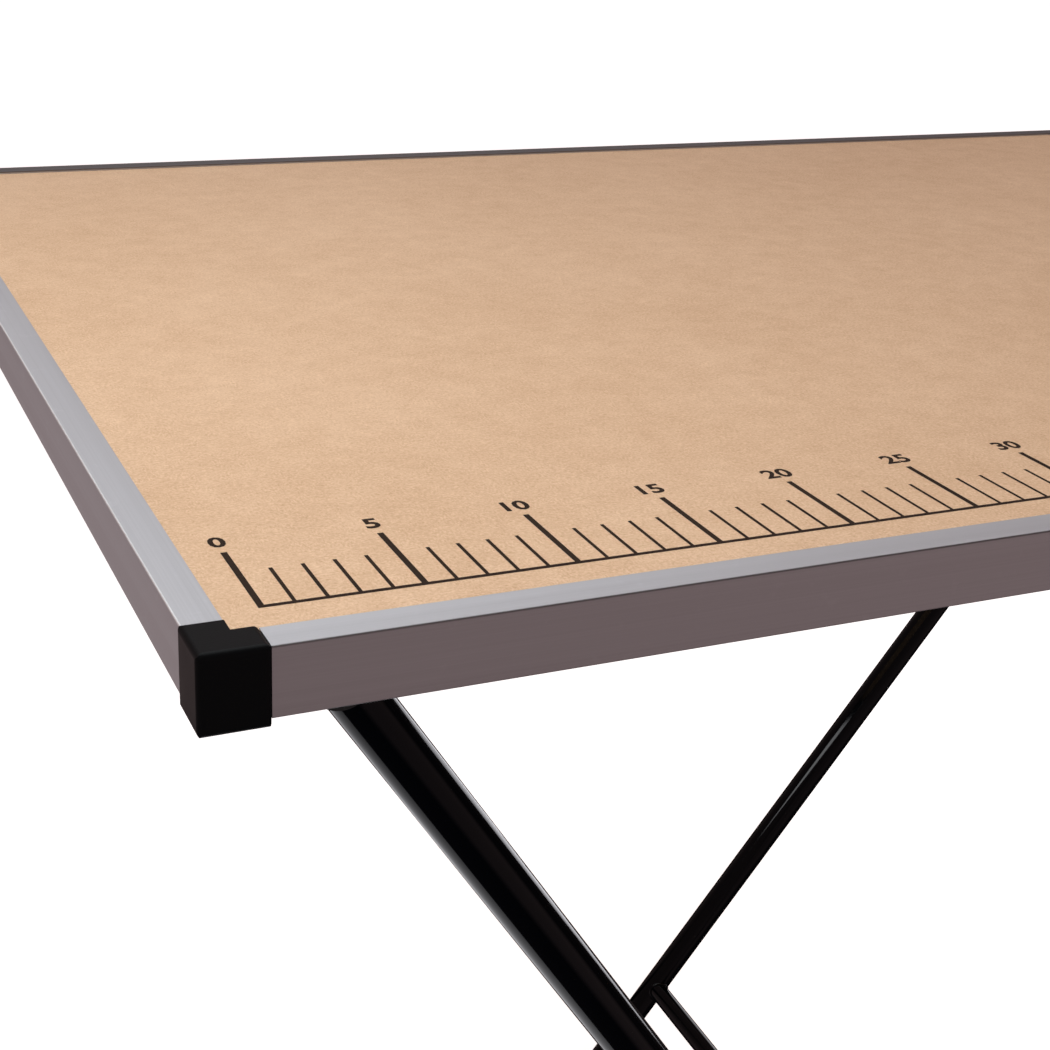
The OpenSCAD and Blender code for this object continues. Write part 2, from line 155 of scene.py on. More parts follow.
def blend_colours(tree, factor, first, second):
    """The first colour where the factor is 0 and the second where it is 1."""
    node = tree.nodes.new("ShaderNodeMix")
    node.data_type = "RGBA"
    feed(tree, node.inputs["Factor"], factor)
    colour_inputs = [socket for socket in node.inputs if socket.type == "RGBA"]
    for socket, value in zip(colour_inputs, (first, second)):
        feed(tree, socket, value)
    return next(socket for socket in node.outputs if socket.type == "RGBA")


def new_group(name, inputs, outputs):
    """An empty shader group with named sockets; returns it with its input and output nodes."""
    group = bpy.data.node_groups.new(name, "ShaderNodeTree")
    for label, kind, value in inputs:
        socket = group.interface.new_socket(label, in_out="INPUT", socket_type="NodeSocket" + kind)
        if value is not None:
            socket.default_value = value
    for label, kind in outputs:
        group.interface.new_socket(label, in_out="OUTPUT", socket_type="NodeSocket" + kind)
    return group, group.nodes.new("NodeGroupInput"), group.nodes.new("NodeGroupOutput")


# %% [markdown]
# ## Effects that several finishes share
# Pressed fibre, drawn metal and moulded plastic each have a fine pattern of their own. Each is a
# shader group with named inputs, built once. A group only gives out colours, masks and heights;
# the shader itself stays in the material. Most noise lies between 0.3 and 0.7, so a mask that has
# to swing all the way stretches that part of it.

# %% Pressed fibre
MOST_NOISE = (0.3, 0.7)
# how many features a pattern has to the metre, along X, Y and Z where they differ
FIBRES_ONE_WAY = (620, 1300, 900)
FIBRES_OTHER_WAY = (1250, 660, 900)
WAY_PATCHES = 160.0
SPECKS = 1500.0
MOTTLE = 75.0
FIBRE_CLOUDS = 7.0
WAY_EDGE = (0.42, 0.58)
SPECK_SHARE = 0.3


def swing(tree, value):
    """Noise spread out so that it runs from minus a half to a half."""
    return remap(tree, value, *MOST_NOISE, -0.5, 0.5)


def fibre_group():
    """Short fibres that lie one way or the other in patches, specks, a soft mottle and slow clouds,
    added up as a mask. The height is the fibres alone."""
    group, start, end = new_group(
        "pressed_fibre",
        [("Vector", "Vector", None), ("Fibre", "Float", 0.5), ("Mottle", "Float", 0.2),
         ("Cloud", "Float", 0.3)],
        [("Shade", "Float"), ("Height", "Float")],
    )
    place = start.outputs["Vector"]
    one_way = noise(group, stretch(group, place, FIBRES_ONE_WAY), 1.0, detail=3.0, roughness=0.65)
    other_way = noise(group, stretch(group, place, FIBRES_OTHER_WAY), 1.0, detail=3.0,
                      roughness=0.65)
    way = remap(group, noise(group, place, WAY_PATCHES), *WAY_EDGE)
    mixed = plus(group, times(group, one_way, way),
                 times(group, other_way, maths(group, "SUBTRACT", 1.0, way)))
    fibres = swing(group, mixed)
    specks = swing(group, noise(group, place, SPECKS))
    mottle = swing(group, noise(group, place, MOTTLE, detail=4.0, roughness=0.75))
    clouds = swing(group, noise(group, place, FIBRE_CLOUDS, detail=4.0))
    speckled = plus(group, fibres, times(group, specks, SPECK_SHARE))
    fine = times(group, speckled, start.outputs["Fibre"])
    slow = plus(group, times(group, clouds, start.outputs["Cloud"]),
                times(group, mottle, start.outputs["Mottle"]))
    feed(group, end.inputs["Shade"], plus(group, fine, slow, 0.5))
    feed(group, end.inputs["Height"], mixed)
    return group


FIBRE = fibre_group()
print("shared effect:", FIBRE.name)

# %% Drawn lines
BROADER = (0.12, 0.12, 0.12)
FINE_SHARE = 0.6
BROAD_SHARE = 0.4
SCUFF_PATCHES = 160.0
SCUFF_EDGE = (0.62, 0.72)


def drawn_group():
    """Fine and broad lines along an extrusion, with a few scuffs, added up as a mask. The height is
    the fine lines alone."""
    group, start, end = new_group(
        "drawn_lines",
        [("Vector", "Vector", None), ("Draw", "Vector", (1.0, 1.0, 1.0)), ("Scuffs", "Float", 0.3)],
        [("Lines", "Float"), ("Height", "Float")],
    )
    place = start.outputs["Vector"]
    drawn = stretch(group, place, start.outputs["Draw"])
    fine = noise(group, drawn, 1.0, detail=4.0, roughness=0.7)
    broad = noise(group, stretch(group, drawn, BROADER), 1.0)
    patches = noise(group, place, SCUFF_PATCHES, detail=4.0, roughness=0.6)
    marks = remap(group, patches, *SCUFF_EDGE)
    lines = plus(group, times(group, fine, FINE_SHARE), times(group, broad, BROAD_SHARE))
    scuffed = plus(group, lines, times(group, marks, start.outputs["Scuffs"]))
    feed(group, end.inputs["Lines"], scuffed)
    feed(group, end.inputs["Height"], fine)
    return group


DRAWN = drawn_group()
print("shared effect:", DRAWN.name)

# %% Moulded grain
GLOSS_CLOUDS = 24.0


def grain_group():
    """The fine pebbled skin of a moulded or coated surface, with a slow change of gloss."""
    group, start, end = new_group(
        "skin_grain",
        [("Vector", "Vector", None), ("Size", "Float", 1500.0)],
        [("Gloss", "Float"), ("Height", "Float")],
    )
    place = start.outputs["Vector"]
    feed(group, end.inputs["Gloss"], noise(group, place, GLOSS_CLOUDS, detail=4.0))
    feed(group, end.inputs["Height"], noise(group, place, start.outputs["Size"]))
    return group


GRAIN = grain_group()
print("shared effect:", GRAIN.name)

# %% [markdown]
# ## The finishes
# Each finish starts from one shader and feeds it with the shared effects. A number that is the same
# all over stays on the shader's own socket, and only what changes over the surface is linked.


# %% Material helpers
def srgb(red, green, blue):
    """A colour as a picture shows it, 0 to 255, turned into the linear light that shaders use."""
    shares = np.array((red, green, blue)) / 255
    low = shares / 12.92
    high = ((shares + 0.055) / 1.055) ** 2.4
    linear = np.where(shares <= 0.04045, low, high)
    return (*(float(share) for share in linear), 1.0)


def new_material(name, **settings):
    """A material with one Principled shader; the settings are its plain numbers and colours."""
    material = bpy.data.materials.new(name)
    material.use_nodes = True
    shader = material.node_tree.nodes["Principled BSDF"]
    for key, value in settings.items():
        shader.inputs[key.replace("_", " ")].default_value = value
    return material, material.node_tree, shader


def place_of(tree):
    """The place on the piece itself, in metres."""
    return tree.nodes.new("ShaderNodeTexCoord").outputs["Object"]


def add_effect(tree, group, **settings):
    """One of the shared effects in this material, with its own numbers."""
    node = tree.nodes.new("ShaderNodeGroup")
    node.node_tree = group
    tree.links.new(place_of(tree), node.inputs["Vector"])
    for key, value in settings.items():
        node.inputs[key].default_value = value
    return node


def add_gloss(tree, shader, mask, ends, roughness):
    """Roughness that follows a mask: the mask's two ends get the first and the last roughness."""
    tree.links.new(remap(tree, mask, *ends, *roughness), shader.inputs["Roughness"])


def add_bump(tree, shader, height, depth_mm):
    """Raises the surface by a height map; depth_mm is the step from its lowest to its highest."""
    bump = tree.nodes.new("ShaderNodeBump")
    bump.inputs["Distance"].default_value = depth_mm * MM
    tree.links.new(height, bump.inputs["Height"])
    tree.links.new(bump.outputs["Normal"], shader.inputs["Normal"])


# %% [markdown]
# ### Fibreboard and ink
# The board is thin hard-pressed fibreboard: a warm tan with short crossing fibres, a soft mottle a
# centimetre across and less, and slow clouds. The face is smooth but not shiny. The ink of the
# scale is thin, so a little of the fibre shows through it.


# %% Fibreboard and its printed ink
def fibreboard_material():
    """Fibres from tan to cream, the light ones a little smoother."""
    material, tree, shader = new_material("fibreboard", Specular_IOR_Level=0.35)
    fibre = add_effect(tree, FIBRE, Fibre=0.75, Mottle=0.3, Cloud=0.16)
    shade = fibre.outputs["Shade"]
    colour = blend_colours(tree, shade, srgb(193, 157, 119), srgb(233, 203, 168))
    tree.links.new(colour, shader.inputs["Base Color"])
    add_gloss(tree, shader, shade, (0.2, 0.8), (0.66, 0.52))
    add_bump(tree, shader, fibre.outputs["Height"], 0.025)
    return material


def ink_material():
    """Dark printing ink that lets a little of the fibre's colour through."""
    material, tree, shader = new_material("printed_ink", Roughness=0.7, Specular_IOR_Level=0.1)
    fibre = add_effect(tree, FIBRE, Fibre=0.7, Cloud=0.3)
    colour = blend_colours(tree, fibre.outputs["Shade"], srgb(24, 16, 11), srgb(48, 35, 26))
    tree.links.new(colour, shader.inputs["Base Color"])
    return material


fibreboard = fibreboard_material()
ink = ink_material()
print("finishes:", fibreboard.name, ink.name)

# %% [markdown]
# ### Aluminium rails
# The rails are extruded aluminium left as it came from the mill. Drawing it through the die leaves
# faint lines along its length, so the long rails and the end rails need the lines in different
# directions. Their outer top edge is rounded so finely that it shows only as a line, and the material
# paints that line into the colour: painted shade, a dark line, on the long rails and a painted
# highlight, a bright line, on the end rails. One function makes both.

# %% Aluminium
RAIL_TOP = corner.z
RAIL_OUT = (-corner.x, -corner.y)
# how far down the side and over the top the painted line of shade or highlight on the outer top edge
# reaches
PAINTED_EDGE_WIDE = 0.7 * MM
PAINTED_EDGE_FULL = PAINTED_EDGE_WIDE / 4
DRAW_ACROSS = 1400.0
DRAW_ALONG = 2.5
LINES_RANGE = (0.3, 0.75)


def edge_line(tree, side):
    """1 on the rails' outer top edge, falling to 0 a little way down the side and over the top. It is
    the mask of the edge's painted light: painted shade on the long rails, a painted highlight on the end
    rails.
    """
    place = tree.nodes.new("ShaderNodeSeparateXYZ")
    tree.links.new(place_of(tree), place.inputs[0])
    sideways = maths(tree, "ABSOLUTE", place.outputs[side], 0.0)
    outward = remap(tree, sideways, RAIL_OUT[side] - PAINTED_EDGE_WIDE, RAIL_OUT[side] - PAINTED_EDGE_FULL)
    upward = remap(tree, place.outputs["Z"], RAIL_TOP - PAINTED_EDGE_WIDE, RAIL_TOP - PAINTED_EDGE_FULL)
    return times(tree, outward, upward)


def rail_material(name, along, painted_edge_colour):
    """Lines along one axis: the noise is measured finely across them and coarsely along them. The edge
    colour is painted light on the outer top edge: a dark line of painted shade on the long rails and a
    painted highlight on the end rails.
    """
    draw = [DRAW_ACROSS] * 3
    draw[along] = DRAW_ALONG
    material, tree, shader = new_material(name, Metallic=1.0)
    drawn = add_effect(tree, DRAWN, Draw=draw, Scuffs=0.12)
    lines = drawn.outputs["Lines"]
    shade = remap(tree, lines, *LINES_RANGE)
    colour = blend_colours(tree, shade, srgb(170, 170, 173), srgb(188, 188, 191))
    # painted light: the edge colour goes on the outer top edge, painted shade on the long rails and a
    # painted highlight on the end rails
    colour = blend_colours(tree, edge_line(tree, 1 - along), colour, painted_edge_colour)
    tree.links.new(colour, shader.inputs["Base Color"])
    add_gloss(tree, shader, lines, LINES_RANGE, (0.46, 0.6))
    add_bump(tree, shader, drawn.outputs["Height"], 0.012)
    return material


# the long rails' outer top edge gets a dark line of painted shade
long_rail = rail_material("rail_drawn_long", 0, srgb(92, 90, 90))
# the end rails' outer top edge gets a bright painted highlight
cross_rail = rail_material("rail_drawn_across", 1, srgb(228, 228, 228))
print("finishes:", long_rail.name, cross_rail.name)

# %% [markdown]
# ### Black plastics, paint and rubber
# The caps are satin black plastic, the blocks and clips are duller, the tubes have a thin smooth
# glossy coat, and the feet are matt. They differ in colour, in gloss and in the size and depth of
# their grain, so one function with those values makes them all.


# %% Blacks
def black_material(name, colour, gloss, grain_scale, depth_mm, mirror=0.12):
    """gloss is the lowest and highest roughness, and the slow part of the grain moves between them.
    mirror is how strongly the surface mirrors; 0.5 would be a common plastic."""
    material, tree, shader = new_material(name, Base_Color=colour, Specular_IOR_Level=mirror)
    grain = add_effect(tree, GRAIN, Size=grain_scale)
    add_gloss(tree, shader, grain.outputs["Gloss"], MOST_NOISE, gloss)
    add_bump(tree, shader, grain.outputs["Height"], depth_mm)
    return material


cap_black = black_material("cap_black", srgb(4, 5, 6), (0.38, 0.46), 1800.0, 0.02, mirror=0.06)
block_black = black_material("block_black", srgb(26, 26, 27), (0.42, 0.52), 1500.0, 0.04)
tube_black = black_material("tube_black", srgb(1, 2, 4), (0.05, 0.09), 420.0, 0.003, mirror=0.1)
foot_black = black_material("foot_black", srgb(30, 30, 30), (0.6, 0.75), 1200.0, 0.05)
grip_black = black_material("grip_black", srgb(20, 20, 21), (0.34, 0.46), 900.0, 0.05)
blacks = (cap_black, block_black, tube_black, foot_black, grip_black)
print("finishes:", *(black.name for black in blacks))

# %% [markdown]
# ### Zinc-plated steel and the brace's softwood
# The hinges, hook plates, rivets and the handle's wire are bright zinc, which clouds a little. The
# brace is planed softwood, whose grain runs along it: lines stretched far along the batten.


# %% Steel and wood
def zinc_material():
    """Metal that changes slowly from a blue grey to a warm one, and its gloss with it."""
    material, tree, shader = new_material("zinc_plate", Metallic=1.0)
    grain = add_effect(tree, GRAIN, Size=600.0)
    cloud = grain.outputs["Gloss"]
    colour = blend_colours(tree, cloud, srgb(168, 170, 174), srgb(206, 206, 204))
    tree.links.new(colour, shader.inputs["Base Color"])
    add_gloss(tree, shader, cloud, MOST_NOISE, (0.24, 0.4))
    add_bump(tree, shader, grain.outputs["Height"], 0.01)
    return material


def softwood_material():
    """Brown and yellow lines along the batten, the yellow ones a little smoother."""
    material, tree, shader = new_material("softwood")
    drawn = add_effect(tree, DRAWN, Draw=(420.0, 6.0, 300.0), Scuffs=0.1)
    lines = drawn.outputs["Lines"]
    shade = remap(tree, lines, *MOST_NOISE)
    colour = blend_colours(tree, shade, srgb(158, 116, 74), srgb(212, 176, 128))
    tree.links.new(colour, shader.inputs["Base Color"])
    add_gloss(tree, shader, lines, MOST_NOISE, (0.7, 0.5))
    add_bump(tree, shader, drawn.outputs["Height"], 0.15)
    return material


zinc = zinc_material()
softwood = softwood_material()
print("finishes:", zinc.name, softwood.name)

# %% [markdown]
# ## Finishes onto the frame's pieces
# A piece of the frame keeps its mesh and only gets a material. The name's last words say what it
# is, so a short table gives each kind its finish.

# %% Assign the finishes
FINISH_OF = {
    "board": fibreboard,
    "front_rail": long_rail,
    "back_rail": long_rail,
    "end_rail": cross_rail,
    "joint_rail": cross_rail,
    "corner_caps": cap_black,
    "pivot_blocks": block_black,
    "leg_clips": block_black,
    "brace": softwood,
    "axle": tube_black,
    "legs": tube_black,
    "bar": tube_black,
    "feet": foot_black,
    "hinge_leaves": zinc,
    "hinge_pins": zinc,
    "handle_lugs": block_black,
    "handle_bail": zinc,
    "handle_grip": grip_black,
    "latch_rivets": zinc,
    "hook_outer": zinc,
    "hook_inner": zinc,
    "latch_studs": zinc,
}
for node_name, piece in frame["nodes"].items():
    finish = next(look for ending, look in FINISH_OF.items() if node_name.endswith(ending))
    piece.data.materials.clear()
    piece.data.materials.append(finish)
print("finished pieces:", len(frame["nodes"]))

# %% [markdown]
# ## Surfaces worked out with numpy
# A new shape is a grid of points: two parameters run along its rows and columns, and a formula
# gives the point for each pair. One helper turns such a grid into quads, closing it round either
# way, and another puts several grids into one mesh.


# %% Grid helpers
def turn_angles(count):
    """Angles in equal steps once round, stopping one step before the first comes again."""
    return np.linspace(0, 2 * np.pi, count, endpoint=False)


def grid_faces(rows, columns, wrap_rows=False, wrap_columns=False):
    """Quads between neighbours on a grid, numbered row by row; a wrapped side joins its ends."""
    row = np.arange(rows if wrap_rows else rows - 1)
    column = np.arange(columns if wrap_columns else columns - 1)
    i, j = np.meshgrid(row, column, indexing="ij")
    below, beside = (i + 1) % rows, (j + 1) % columns
    corners = ((i, j), (below, j), (below, beside), (i, beside))
    return np.stack([down * columns + across for down, across in corners], -1).reshape(-1, 4)


def make_piece(name, parts, material, body, smooth=True):
    """parts are (points, faces) pairs in metres, in the table's frame, joined into one mesh."""
    points, faces, offset = [], [], 0
    for part_points, part_faces in parts:
        flat = np.asarray(part_points, float).reshape(-1, 3)
        points.append(flat)
        faces.extend([[int(index) + offset for index in face] for face in part_faces])
        offset += len(flat)
    mesh = bpy.data.meshes.new(name)
    mesh.from_pydata(np.concatenate(points).tolist(), [], faces)
    mesh.polygons.foreach_set("use_smooth", [smooth] * len(mesh.polygons))
    mesh.materials.append(material)
    mesh.update()
    piece = bpy.data.objects.new(name, mesh)
    bpy.context.scene.collection.objects.link(piece)
    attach(piece, body)
    print(name, "has", len(mesh.polygons), "faces")


# %% [markdown]
# ## The printed scale
# A centimetre scale is printed along the front edge: a base line, a short mark each centimetre, a
# long heavy mark each five, and a number over each of those. Ink has almost no thickness, so each
# mark is a flat patch a few hundredths of a millimetre above the board, and the base line lies a
# hair higher where they cross. The scale runs on over the second board at its true distance, with
# the marks that would fall on the rails left out.

# %% Scale sizes
scale_start = corner + Vector((25.3, 27.3, 0)) * MM
INK_RISE = 0.04 * MM
BASE_RISE = INK_RISE / 4
STEP = 10 * MM
MOST_MARKS = 400
MARKS_PER_NUMBER = 5
BASE_WIDTH = 1.8 * MM
# a mark's reach across the board and its width
SHORT_MARK = (25.0 * MM, 1.3 * MM)
LONG_MARK = (40.0 * MM, 2.1 * MM)
NUMBER_FOOT = 44.0 * MM
NUMBER_TALL = 8.0 * MM
NUMBER_WIDEN = 1.05
NUMBER_WEIGHT = 0.03
NUMBER_CURVES = 3
LIP_MARGIN = 2.0 * MM
FIRST_MARK_MARGIN = LIP_MARGIN / 2
print("the scale starts at", [round(v, 4) for v in scale_start])


# %% A mark and a number
def patch(low_x, high_x, low_y, high_y, z):
    """A flat rectangle as the smallest grid, two rows of two points, with its face upwards."""
    x, y = np.meshgrid([low_x, high_x], [low_y, high_y], indexing="xy")
    points = np.stack([x, y, np.full_like(x, z)], -1)
    return points, grid_faces(2, 2)[:, ::-1]


def number_outline(text):
    """A number as flat faces: points with their foot at 0 and middle at 0, and a height of 1."""
    curve = bpy.data.curves.new("number", "FONT")
    curve.body = text
    curve.offset = NUMBER_WEIGHT
    curve.resolution_u = NUMBER_CURVES
    writer = bpy.data.objects.new("number", curve)
    bpy.context.scene.collection.objects.link(writer)
    bpy.context.view_layer.update()
    written = writer.evaluated_get(bpy.context.evaluated_depsgraph_get())
    mesh = bpy.data.meshes.new_from_object(written)
    points = np.zeros(len(mesh.vertices) * 3)
    mesh.vertices.foreach_get("co", points)
    points = points.reshape(-1, 3)
    faces = [list(face.vertices) for face in mesh.polygons]
    bpy.data.objects.remove(writer)
    bpy.data.curves.remove(curve)
    bpy.data.meshes.remove(mesh)
    low, high = points.min(axis=0), points.max(axis=0)
    points[:, 0] -= (low[0] + high[0]) / 2
    points[:, 1] -= low[1]
    return points / (high[1] - low[1]), faces


# %% The scale on each board
def scale_parts(board):
    """The marks and numbers of the scale that fall on one board, clear of the rails' lips. Mark
    number n stands n steps from the scale's start."""
    side = board.split("_")[0]
    end_rail, joint_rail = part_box(side + "_end_rail"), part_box(side + "_joint_rail")
    first, last = (end_rail, joint_rail) if side == "left" else (joint_rail, end_rail)
    low, high = first[1].x + LIP_MARGIN, last[0].x - LIP_MARGIN
    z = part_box(board)[1].z + INK_RISE
    foot = scale_start.y
    count = np.arange(MOST_MARKS)
    x = scale_start.x + count * STEP
    half_mark = LONG_MARK[1] / 2
    fits = (x - half_mark >= low - FIRST_MARK_MARGIN) & (x + half_mark <= high)
    parts = []
    for index, centre in zip(count[fits], x[fits]):
        numbered = index % MARKS_PER_NUMBER == 0
        reach, width = LONG_MARK if numbered else SHORT_MARK
        parts.append(patch(centre - width / 2, centre + width / 2, foot, foot + reach, z))
        if numbered:
            points, faces = number_outline(str(index))
            points = points * (NUMBER_TALL * NUMBER_WIDEN, NUMBER_TALL, 0)
            half = points[:, 0].max()
            middle = min(max(centre, low + half), high - half)
            parts.append((points + (middle, foot + NUMBER_FOOT, z), faces))
    base_low, base_high = x[fits][0] - half_mark, x[fits][-1] + SHORT_MARK[1] / 2
    half_base = BASE_WIDTH / 2
    parts.append(patch(base_low, base_high, foot - half_base, foot + half_base, z + BASE_RISE))
    return parts


for side in SIDES:
    marks = scale_parts(side + "_board")
    make_piece(side + "_scale", marks, ink, side + "_panel", smooth=False)

# %% [markdown]
# ## Weld beads
# The leg frames are tubes welded together. Where a round tube meets another, the joint line is a
# saddle: it climbs and falls round the tube. A bead is a thin ring of metal that follows that line.
# The line has a simple formula for tubes that cross squarely, so the bead is its line with a small
# circle carried along it.

# %% Bead sizes and the ring
BEAD_R = 1.3 * MM
AROUND = 72
SECTION = 10


def bead(line, out, along, radius):
    """A small circle carried round a closed line, in the plane of two directions at each point."""
    turn = turn_angles(SECTION)[None, :, None]
    ring = np.cos(turn) * out[:, None, :] + np.sin(turn) * along[:, None, :]
    points = line[:, None, :] + radius[:, None, None] * ring
    return points, grid_faces(AROUND, SECTION, True, True)


# %% Where a leg frame's tubes run
def frame_facts(side, place):
    """Where a leg frame turns, which way its side tubes run and the way square to them and to the
    axle, their radius, and each tube's middle with the way inwards from it."""
    joint = joints[f"{side}_{place}_legs_fold"]
    pivot = np.array(joint["pos_m"])
    slope = math.radians(joint["range_deg"][1])
    foot_low, foot_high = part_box(f"{side}_{place}_feet")
    heading = math.copysign(1, (foot_low.x + foot_high.x) / 2 - pivot[0])
    down = np.array((heading * math.cos(slope), 0, -math.sin(slope)))
    across = np.array((heading * math.sin(slope), 0, math.cos(slope)))
    axle_low, axle_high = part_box(f"{side}_{place}_axle")
    legs_low, legs_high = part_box(f"{side}_{place}_legs")
    radius = (axle_high.z - axle_low.z) / 2
    rows = ((legs_low.y + radius, 1), (legs_high.y - radius, -1))
    return pivot, down, across, radius, rows


# %% Saddle lines
FADE = 0.4
THINNEST = 0.02


def axle_bead(pivot, down, across, radius, y, inward):
    """Round the side tube, where it meets the axle: the line's distance from the axle's middle
    along the tube is the tube's radius times the size of the sine of the turn. The bead fades out
    on the frame's outer side, where the axle ends."""
    turn = turn_angles(AROUND)[:, None]
    out = np.cos(turn) * across + np.sin(turn) * np.array((0, inward, 0))
    line = np.array((pivot[0], y, pivot[2])) + radius * (out + np.abs(np.sin(turn)) * down)
    size = BEAD_R * np.clip((np.sin(turn[:, 0]) + 1) / FADE, THINNEST, 1)
    return bead(line, out, np.broadcast_to(down, out.shape), size)


def bar_bead(middle, down, across, tube_radius, bar_radius, y, inward):
    """Round the cross bar, where it meets a side tube: its distance from the tube's middle is the
    root of the tube's radius squared less the bar's sideways reach squared."""
    turn = turn_angles(AROUND)[:, None]
    out = np.cos(turn) * down + np.sin(turn) * across
    reach = np.sqrt(tube_radius**2 - (bar_radius * np.sin(turn)) ** 2)
    side_way = np.array((0, inward, 0))
    line = np.array((middle[0], y, middle[2])) + bar_radius * out + reach * side_way
    return bead(line, out, np.broadcast_to(side_way, out.shape), np.full(AROUND, BEAD_R))


# %% Beads of the four leg frames
for side in SIDES:
    for place in ("outer", "inner"):
        pivot, down, across, radius, rows = frame_facts(side, place)
        beads = [axle_bead(pivot, down, across, radius, y, inward) for y, inward in rows]
        if place == "inner":
            bar_low, bar_high = (np.array(end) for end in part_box(f"{side}_inner_bar"))
            middle, bar_radius = (bar_low + bar_high) / 2, (bar_high[2] - bar_low[2]) / 2
            beads += [bar_bead(middle, down, across, radius, bar_radius, y, inward)
                      for y, inward in rows]
        make_piece(f"{side}_{place}_welds", beads, tube_black, f"{side}_{place}_frame")

# %% [markdown]
# ## Screw heads
# The handle's lugs are held by pan-head screws with a cross recess, and the brace by the same
# screws from below. A head is a dome worked out on a round grid: its height falls with the distance
# from the middle, less a groove near the two lines of the cross.

# %% Screw head
HEAD_R = 2.9 * MM
HEAD_RISE = 1.5 * MM
DOME_POWER = 3.2
SLOT_HALF = 0.45 * MM
SLOT_REACH = 1.7 * MM
SLOT_DEEP = 1.1 * MM
SLOT_SOFT = 0.12 * MM
EXP_LIMIT = 30
HEAD_RINGS = 26
HEAD_TURN = 64
FIRST_RING = 0.02


def screw_head(centre, out, side_way, turned):
    """Height is the rise times one less the share of the radius to the dome's power. Within the
    slot's half width of either cross line it is lowered by the slot's depth, softly at its edges.
    A flat face closes the middle and another the underside."""
    share = np.linspace(FIRST_RING, 1, HEAD_RINGS)[:, None]
    turn = turn_angles(HEAD_TURN)[None, :]
    x, y = HEAD_R * share * np.cos(turn), HEAD_R * share * np.sin(turn)
    near = np.minimum(np.abs(x), np.abs(y)) - SLOT_HALF
    far = np.maximum(np.abs(x), np.abs(y)) - SLOT_REACH
    outside = np.clip(np.maximum(near, far) / SLOT_SOFT, -EXP_LIMIT, EXP_LIMIT)
    height = HEAD_RISE * (1 - share**DOME_POWER) - SLOT_DEEP / (1 + np.exp(outside))
    spun = math.radians(turned)
    first = math.cos(spun) * side_way + math.sin(spun) * np.cross(out, side_way)
    second = np.cross(out, first)
    points = centre + x[..., None] * first + y[..., None] * second + height[..., None] * out
    faces = grid_faces(HEAD_RINGS, HEAD_TURN, False, True)[:, ::-1].tolist()
    rim = np.arange(HEAD_TURN)
    faces.append(rim.tolist())
    faces.append((rim + (HEAD_RINGS - 1) * HEAD_TURN)[::-1].tolist())
    return points, faces


# %% Screws of the handle's lugs
PLATE_T = 2.0 * MM
PLATE_W = 22.0 * MM
SCREW_IN = 3.4 * MM
LUG_SCREW_TURN = 37
TO_FRONT = np.array((0.0, -1.0, 0.0))
TO_FLOOR = np.array((0.0, 0.0, -1.0))
ALONG_X = np.array((1.0, 0.0, 0.0))
lugs_low, lugs_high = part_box("handle_lugs")
screw_rows = (lugs_low.x + SCREW_IN, lugs_low.x + PLATE_W - SCREW_IN,
              lugs_high.x - PLATE_W + SCREW_IN, lugs_high.x - SCREW_IN)
screw_y, screw_z = corner.y - PLATE_T, joints["handle_swing"]["pos_m"][2]
heads = [screw_head(np.array((x, screw_y, screw_z)), TO_FRONT, ALONG_X, LUG_SCREW_TURN * number)
         for number, x in enumerate(screw_rows)]
make_piece("handle_screws", heads, zinc, "left_panel")

# %% Screws of the braces
BRACE_SCREWS = 4
BRACE_SCREW_IN = 30 * MM
BRACE_SCREW_TURN = 53
for side in SIDES:
    low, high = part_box(side + "_brace")
    rows = np.linspace(low.y + BRACE_SCREW_IN, high.y - BRACE_SCREW_IN, BRACE_SCREWS)
    heads = [screw_head(np.array(((low.x + high.x) / 2, y, low.z)), TO_FLOOR, ALONG_X,
                        BRACE_SCREW_TURN * number)
             for number, y in enumerate(rows)]
    make_piece(side + "_brace_screws", heads, zinc, side + "_panel")

# %% [markdown]
# ## The studio
# A plain pale floor under soft light. The photograph's rails show what stands round a camera: their
# sides mirror a dim mauve room and their tops a large soft light overhead. So the floor is kept out
# of reflections, the room that things mirror is dim, and the camera sees a pale one. The floor
# glows a little, like a light table, and is clear from below, so that the underside can be seen.

# %% Floor
FLOOR_HALF = 12.0
FLOOR_GLOW = 0.8
WHITE = (1.0, 1.0, 1.0, 1.0)


def mix_shaders(tree, factor, first, second):
    """The first shader where the factor is 0 and the second where it is 1."""
    node = tree.nodes.new("ShaderNodeMixShader")
    for socket, value in zip(node.inputs, (factor, first, second)):
        tree.links.new(value, socket)
    return node.outputs[0]


def studio_floor():
    """A large square round the table that is seen from above only and is never mirrored."""
    material, tree, shader = new_material(
        "floor_pale", Roughness=0.9, Specular_IOR_Level=0.1, Base_Color=srgb(246, 246, 246),
        Emission_Color=WHITE, Emission_Strength=FLOOR_GLOW,
    )
    from_below = tree.nodes.new("ShaderNodeNewGeometry").outputs["Backfacing"]
    clear = tree.nodes.new("ShaderNodeBsdfTransparent")
    surface = mix_shaders(tree, from_below, shader.outputs[0], clear.outputs[0])
    tree.links.new(surface, tree.nodes["Material Output"].inputs["Surface"])
    mesh = bpy.data.meshes.new("studio_floor")
    corners = np.array([(-1, -1, 0), (1, -1, 0), (1, 1, 0), (-1, 1, 0)]) * FLOOR_HALF
    mesh.from_pydata(corners.tolist(), [], [(0, 1, 2, 3)])
    mesh.materials.append(material)
    floor = bpy.data.objects.new("studio_floor", mesh)
    floor.visible_glossy = False
    bpy.context.scene.collection.objects.link(floor)
    print("the floor reaches", FLOOR_HALF, "metres from the middle")


studio_floor()

# %% [markdown]
# Light on dull surfaces and light in shiny ones are set apart, because the photograph fixes them by
# different signs. The board gets darker away from the ruled corner, so one small lamp hangs high
# beside that corner and only lights dull surfaces, and another does the same over the second board.
# The other four only show in shiny surfaces: a large one overhead in the tops of the rails and
# caps, a long box at the left, a patch on the floor under the free end and a low strip behind at
# the right. The last three stand where a glossy tube or a rail's side mirrors them, as a pale band
# or a thin bright line.

